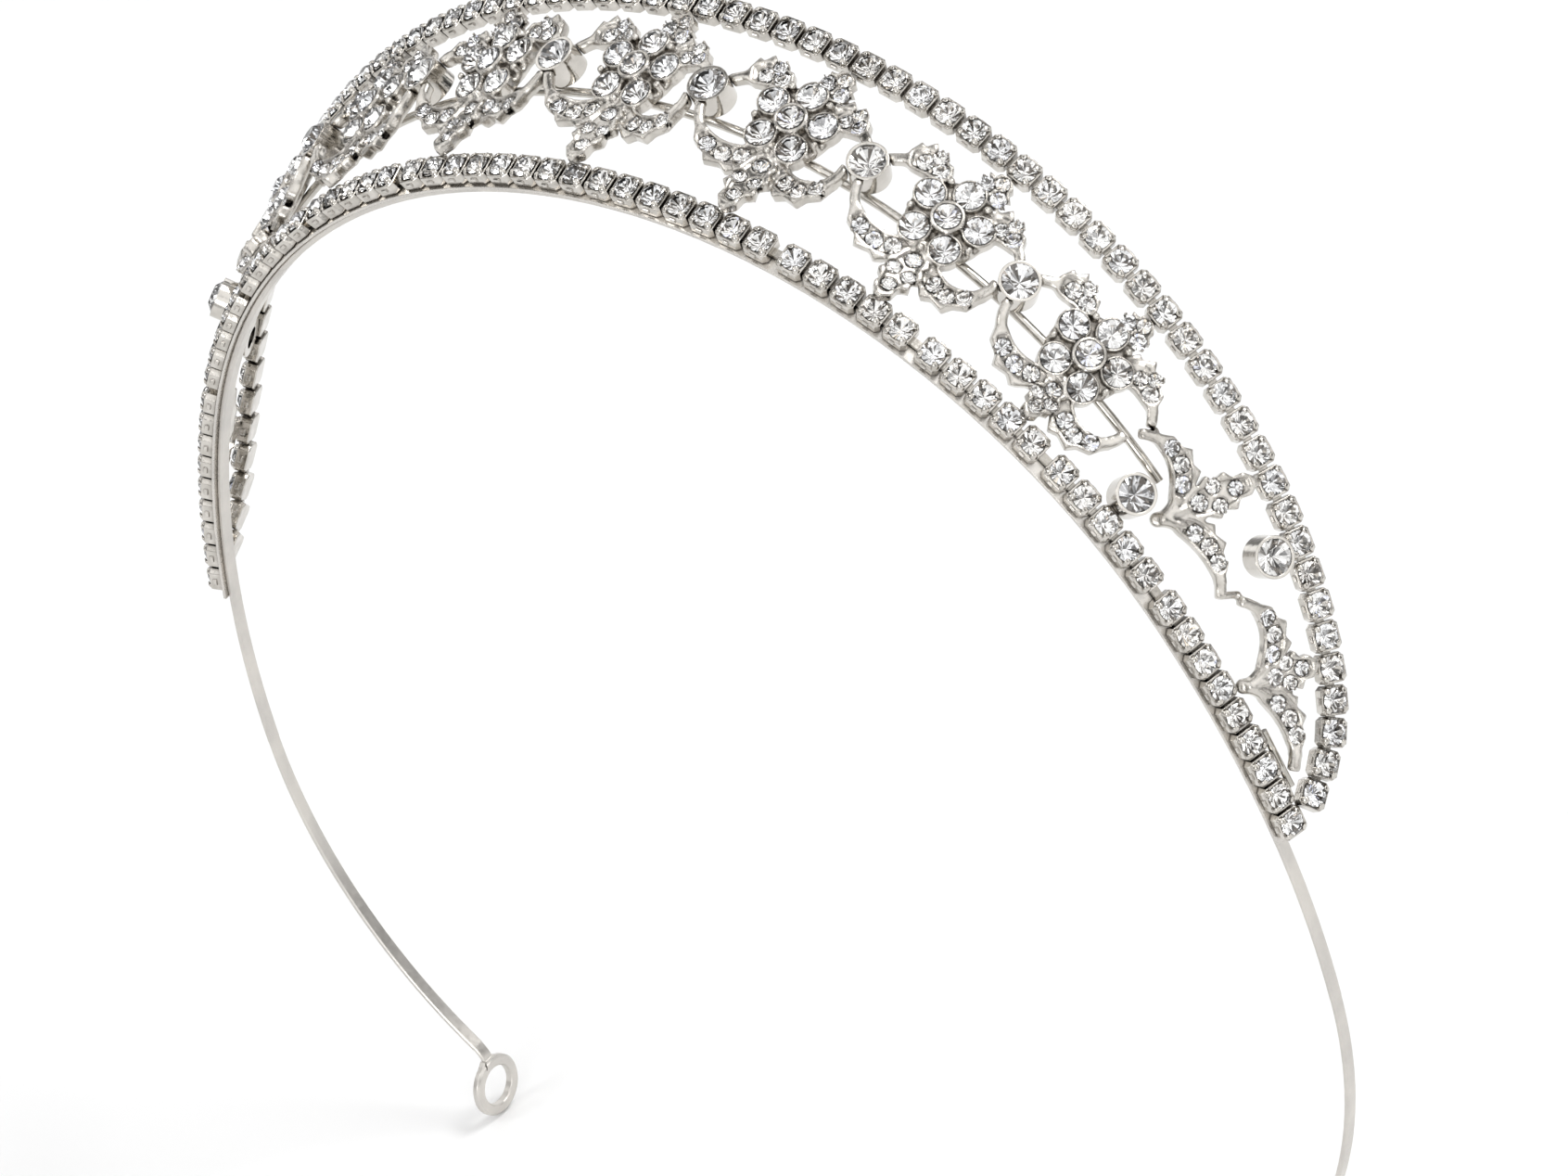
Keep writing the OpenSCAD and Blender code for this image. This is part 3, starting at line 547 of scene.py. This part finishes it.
def cast_copy(node, material, stems=()):
    """The casting with the soft corners that pouring and tumbling leave, and any stems poured with it."""
    form = bmesh.new()
    form.from_mesh(nodes[node].data)
    bmesh.ops.remove_doubles(form, verts=form.verts, dist=same_point)
    for start, end, radius in stems:
        way = end - start
        bmesh.ops.create_cone(form, cap_ends=True, segments=stem_sides, radius1=radius, radius2=radius,
                              depth=way.length, matrix=standing((start + end) / 2, way))
    piece = new_piece(node + "_casting", form, material)
    skin = piece.modifiers.new("skin", "REMESH")
    skin.mode = "VOXEL"
    skin.voxel_size = cast_grain
    poured = bmesh.new()
    poured.from_object(piece, bpy.context.evaluated_depsgraph_get())
    piece.modifiers.remove(skin)
    seats = seats_of(node + "_stones")
    crystals = KDTree(len(seats))
    for k, (culet, axis, radius) in enumerate(seats):
        crystals.insert(culet + axis * radius * girdle_height, k)
    crystals.balance()
    bare = [v for v in poured.verts if crystals.find(v.co)[2] > stem_from_crystal]
    for verts, rounds in ((poured.verts, cast_rounds), (bare, stem_rounds)):
        for tumble in range(rounds):
            bmesh.ops.smooth_vert(poured, verts=verts, factor=tumble_share,
                                  use_axis_x=True, use_axis_y=True, use_axis_z=True)
    for face in poured.faces:
        face.smooth = True
    poured.to_mesh(piece.data)
    poured.free()
    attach(piece, "root")
    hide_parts(node)


def grain():
    """One grain of radius 1: a short round post with a domed top."""
    form = bmesh.new()
    foot = bmesh.ops.create_circle(form, segments=grain_sides, radius=1, cap_ends=True)["verts"]
    ring = list({e for v in foot for e in v.link_edges})
    for lift, slim in grain_rings:
        verts, ring = raised(form, ring)
        bmesh.ops.translate(form, verts=verts, vec=(0, 0, lift))
        bmesh.ops.scale(form, verts=verts, vec=(slim, slim, 1))
    verts, ring = raised(form, ring)
    bmesh.ops.pointmerge(form, verts=verts, merge_co=(0, 0, grain_top))
    bmesh.ops.recalc_face_normals(form, faces=form.faces)
    for face in form.faces:
        face.smooth = True
    return finished("grain", form)


grain_pattern = grain()


def raise_grains(node, material):
    """Four grains of metal raised round each small crystal of the leaves to hold it."""
    grains = bmesh.new()
    for k, (culet, axis, radius) in enumerate(seats_of(node + "_stones")):
        if radius > small_stone:
            continue
        for quarter in (0, 90, 180, 270):
            turn = Matrix.Rotation(radians(k * next_turn + quarter), 4, "Z")
            out = Matrix.Translation((radius * grain_seat, 0, radius * girdle_height - grain_radius))
            stamp(grains, grain_pattern, standing(culet, axis) @ turn @ out @ Matrix.Scale(grain_radius, 4))
    piece = new_piece(node + "_grains", grains, material)
    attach(piece, "root")
    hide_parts(node)


flowers = ["flower_centre"] + [f"flower_{side}_{k}" for side in ("right", "left") for k in (1, 2, 3)]
for flower in flowers:
    cast_copy(flower, cast_metal)
    raise_grains(flower, cast_metal)
    set_stones(flower + "_crystals", flower + "_stones")

# Collets: deep plain plated tubes, each with one larger crystal in its mouth. Three on each side are
# held between the stems of two flowers, and two more are soldered to the chains at each end of the
# crescent. Their crystals have more dark painted reflections on their facets than the small ones.
collet_dull = (0.55, 0.525, 0.485)
# Painted reflections on the collet crystals' facets reach only this share of the ramp, so more are dark.
collet_brightest_reflection = 0.6
collet_metal = plated("turned_collet_plating", cast_bright, collet_dull, smoothest=0.07, roughest=0.16,
                      clouds=500, marks=2300, relief=0.3, edge=0.00012)
for side in ("right", "left"):
    for k in (1, 2, 3):
        finish_node(f"collet_{side}_{k}", collet_metal)
    for place in ("lower", "upper"):
        finish_node(f"end_collet_{side}_{place}", collet_metal)
    set_stones(f"collet_{side}_crystals", f"collet_{side}_stones", collet_brightest_reflection)
    set_stones(f"end_collet_{side}_crystals", f"end_collet_{side}_stones",
               collet_brightest_reflection)

# Leaf sprays: castings of jagged leaves on one root that fill each tip of the crescent, with a raised
# rib on each stem. The outer spray's upper stem runs on to the inner spray's tail, and the inner one's
# to the last flower, and they are soldered there.
join_radius = 0.00042
join_sunk = 0.0004
rib_radius = 0.0003
rib_level = 0.0003
rib_share = 0.7
rib_steps = 4
long_leaf_pair, long_leaf_tip = 0.58, 0.78
long_leaf_stones = 3
stems_of_root = 3
next_crystal = 0.0025


def nearest_points(first, second):
    """Where two castings come closest: a point of the first and one of the second."""
    there = nodes[second].data.vertices
    tree = KDTree(len(there))
    for k, vert in enumerate(there):
        tree.insert(vert.co, k)
    tree.balance()
    nearest = min(nodes[first].data.vertices, key=lambda vert: tree.find(vert.co)[2])
    return nearest.co.copy(), tree.find(nearest.co)[0]


def root_ribs(node):
    """Rods along the stems of a spray, from its root towards the first crystal of each leaf.

    The long leaf has the smallest crystals, a pair and one at its tip, and its line gives the root.
    A rib bends on the circle through the root and the leaf's first two crystals.
    """
    seats = sorted(seats_of(node + "_stones"), key=lambda seat: seat[2])
    spots = [culet + axis * (radius * girdle_height + rib_level) for culet, axis, radius in seats]
    long_leaf, others = spots[:long_leaf_stones], spots[long_leaf_stones:]
    heart = sum(others, Vector()) / len(others)
    long_leaf.sort(key=lambda spot: (spot - heart).length)
    pair, tip = (long_leaf[0] + long_leaf[1]) / 2, long_leaf[2]
    root = tip + (pair - tip) * (long_leaf_tip / (long_leaf_tip - long_leaf_pair))
    others.sort(key=lambda spot: (spot - root).length)
    shares = [rib_share * k / rib_steps for k in range(rib_steps + 1)]
    rods = []
    for first in others[:stems_of_root]:
        second = min(others[stems_of_root:], key=lambda spot: (spot - first).length)
        route = [root.lerp(first, share) for share in shares]
        if (second - first).length < next_crystal:
            to_first, to_second = first - root, second - root
            turn = to_first.cross(to_second)
            lean = to_first.length_squared * to_second - to_second.length_squared * to_first
            centre = root + lean.cross(turn) / (2 * turn.length_squared)
            swing = (root - centre).angle(first - centre)
            route = [centre + Quaternion(turn, swing * share) @ (root - centre) for share in shares]
        rods += [(start, end, rib_radius) for start, end in zip(route, route[1:])]
    return rods


def running_stem(node, neighbour):
    """The end of a stem that runs on to the next casting and sinks into both."""
    start, end = nearest_points(node, neighbour)
    sunk = (end - start).normalized() * join_sunk
    return start - sunk, end + sunk, join_radius


for side in ("right", "left"):
    for place, neighbour in (("inner", f"flower_{side}_3"), ("outer", f"spray_{side}_inner")):
        spray = f"spray_{side}_{place}"
        cast_copy(spray, cast_metal, root_ribs(spray) + [running_stem(spray, neighbour)])
        raise_grains(spray, cast_metal)
        set_stones(spray + "_crystals", spray + "_stones")

# Wires: plain round wire, drawn and plated. The long one is soldered to the backs of the flowers and
# collets, and a short one lies on the lower chain in each tip of the crescent.
wire_dull = (0.47, 0.45, 0.41)
wire_metal = plated("drawn_wire_plating", cast_bright, wire_dull, smoothest=0.1, roughest=0.26,
                    clouds=600, marks=2800, relief=0.2)
for wire in ("back_wire", "tip_wire_right", "tip_wire_left"):
    finish_node(wire, wire_metal)

# Floor: a plain matt table under the tiara, which is only stage. A pool of light is painted on it: it is
# white round the tiara and falls off to a pale grey further away.
floor_half = 8
floor_drop = 0.0002
floor_roughness = 0.9
floor_near, floor_far = (0.82, 0.82, 0.82), (0.34, 0.34, 0.34)
white_within, grey_beyond = 0.25, 1.2
floor_white = bpy.data.materials.new("floor_white")
floor_white.use_nodes = True
sheet = floor_white.node_tree
# Painted pool of light: the floor is lighter near the tiara and greyer away from it.
away = add(sheet, "ShaderNodeVectorMath", {0: own_place(sheet)}, operation="LENGTH")
fade = add(sheet, "ShaderNodeMapRange",
           {"Value": away["Value"], "From Min": white_within, "From Max": grey_beyond},
           interpolation_type="SMOOTHSTEP")
painted_light_pool = add(sheet, "ShaderNodeMix",
            {"Factor": fade["Result"], "A": (*floor_near, 1), "B": (*floor_far, 1)}, data_type="RGBA")
feed(sheet.nodes["Principled BSDF"], {"Roughness": floor_roughness, "Base Color": painted_light_pool["Result"]})
floor_form = bmesh.new()
bmesh.ops.create_grid(floor_form, x_segments=1, y_segments=1, size=floor_half)
bmesh.ops.translate(floor_form, verts=floor_form.verts, vec=(0, 0, -floor_drop))
floor = new_piece("floor", floor_form, floor_white)

# Camera: the photograph's long lens, from the front right and above, tipped to the left. Its place was
# fitted to the picture by the pitch of the chains, the legs of the band and the eye that shows.
photo_wide = 1691
focal_pixels = 13089.1
sensor = 36
sees_to = 50
aim = Vector((0.0107038, -0.0091506, 0.0778214))
stand_off = 1.12996
azimuth, elevation, tip = 0.8079, 0.5753, -0.2956
towards = Vector((sin(azimuth) * cos(elevation), -cos(azimuth) * cos(elevation), sin(elevation)))
level = (-towards).cross(Vector((0, 0, 1))).normalized()
upright = level.cross(-towards)
right = cos(tip) * level + sin(tip) * upright
up = cos(tip) * upright - sin(tip) * level
lens = bpy.data.cameras.new("photo_lens")
lens.sensor_fit = "HORIZONTAL"
lens.sensor_width = sensor
lens.lens = focal_pixels / photo_wide * sensor
lens.clip_end = sees_to
camera = bpy.data.objects.new("photo_camera", lens)
facing = Matrix((right, up, towards)).transposed().to_4x4()
camera.matrix_world = Matrix.Translation(aim + stand_off * towards) @ facing
bpy.context.scene.collection.objects.link(camera)
bpy.context.scene.camera = camera

# Light: a white tent with six wall panels, dark where they part, and three soft boxes. Dark cards
# stand in a broken ring beside the lens and draw the dark lines along the bright metal.
tent_strength = 1.35
wall_panels = 6
gap_from, gap_to, gap_light = -0.65, -0.4, 0.2
roof_from, roof_full = 0.4, 0.75
folds = 4.5
fold_tones = ((0.3, (0.04, 0.04, 0.04)), (0.36, (1, 1, 1)))
card_dark = (0.14, 0.14, 0.14)
card_tones = ((0.475, (1, 1, 1)), (0.53, card_dark), (0.69, card_dark), (0.75, (1, 1, 1)))
card_breaks = 6
break_from, break_to = 0.5, 0.6
tent = bpy.data.worlds.new("tent")
bpy.context.scene.world = tent
tent.use_nodes = True
sky = tent.node_tree
outward = add(sky, "ShaderNodeTexCoord", {})["Generated"]
fold = add(sky, "ShaderNodeTexNoise", {"Vector": outward, "Scale": folds, "Detail": 0})
way = add(sky, "ShaderNodeSeparateXYZ", {"Vector": outward})
bearing = add(sky, "ShaderNodeMath", {0: way["Y"], 1: way["X"]}, operation="ARCTAN2")
panel = add(sky, "ShaderNodeMath", {0: bearing["Value"], 1: wall_panels}, operation="MULTIPLY")
wave = add(sky, "ShaderNodeMath", {0: panel["Value"]}, operation="COSINE")
gap = add(sky, "ShaderNodeMapRange",
          {"Value": wave["Value"], "From Min": gap_from, "From Max": gap_to, "To Min": gap_light})
roof = add(sky, "ShaderNodeMapRange", {"Value": way["Z"], "From Min": roof_from, "From Max": roof_full})
walls = add(sky, "ShaderNodeMath", {0: gap["Result"], 1: roof["Result"]}, operation="MAXIMUM")
cloth = add(sky, "ShaderNodeMix",
            {"Factor": 1, "A": tone_ramp(sky, fold["Fac"], fold_tones), "B": walls["Value"]},
            data_type="RGBA", blend_type="MULTIPLY")
beside_lens = add(sky, "ShaderNodeVectorMath", {0: outward, 1: towards}, operation="DOT_PRODUCT")
card_ring = add(sky, "ShaderNodeMapRange", {"Value": beside_lens["Value"], "From Min": -1})
breaks = add(sky, "ShaderNodeTexNoise", {"Vector": outward, "Scale": card_breaks, "Detail": 0})
broken = add(sky, "ShaderNodeMapRange",
             {"Value": breaks["Fac"], "From Min": break_from, "From Max": break_to})
cards = add(sky, "ShaderNodeMix",
            {"Factor": 1, "A": tone_ramp(sky, card_ring["Result"], card_tones), "B": broken["Result"]},
            data_type="RGBA", blend_type="LIGHTEN")
tent_and_cards = add(sky, "ShaderNodeMix", {"Factor": 1, "A": cloth["Result"], "B": cards["Result"]},
                     data_type="RGBA", blend_type="MULTIPLY")
feed(sky.nodes["Background"], {"Color": tent_and_cards["Result"], "Strength": tent_strength})


def soft_box(name, at, size, watts):
    """A soft box that points at the middle of the tiara."""
    light = bpy.data.lights.new(name, "AREA")
    light.shape = "RECTANGLE"
    light.size, light.size_y = size
    light.energy = watts
    lamp = bpy.data.objects.new(name, light)
    lamp.location = at
    lamp.rotation_euler = (middle_of_tiara - Vector(at)).to_track_quat("-Z", "Y").to_euler()
    bpy.context.scene.collection.objects.link(lamp)


middle_of_tiara = Vector((0, 0, 0.07))
soft_box("key_box", at=(-0.7, -0.9, 1.3), size=(0.5, 0.4), watts=2.5)
soft_box("top_box", at=(0.65, 0.6, 1.45), size=(0.7, 0.5), watts=10)
soft_box("low_box", at=(0.55, -1.3, 0.45), size=(0.5, 0.3), watts=3)
bpy.context.scene.view_settings.view_transform = "Standard"
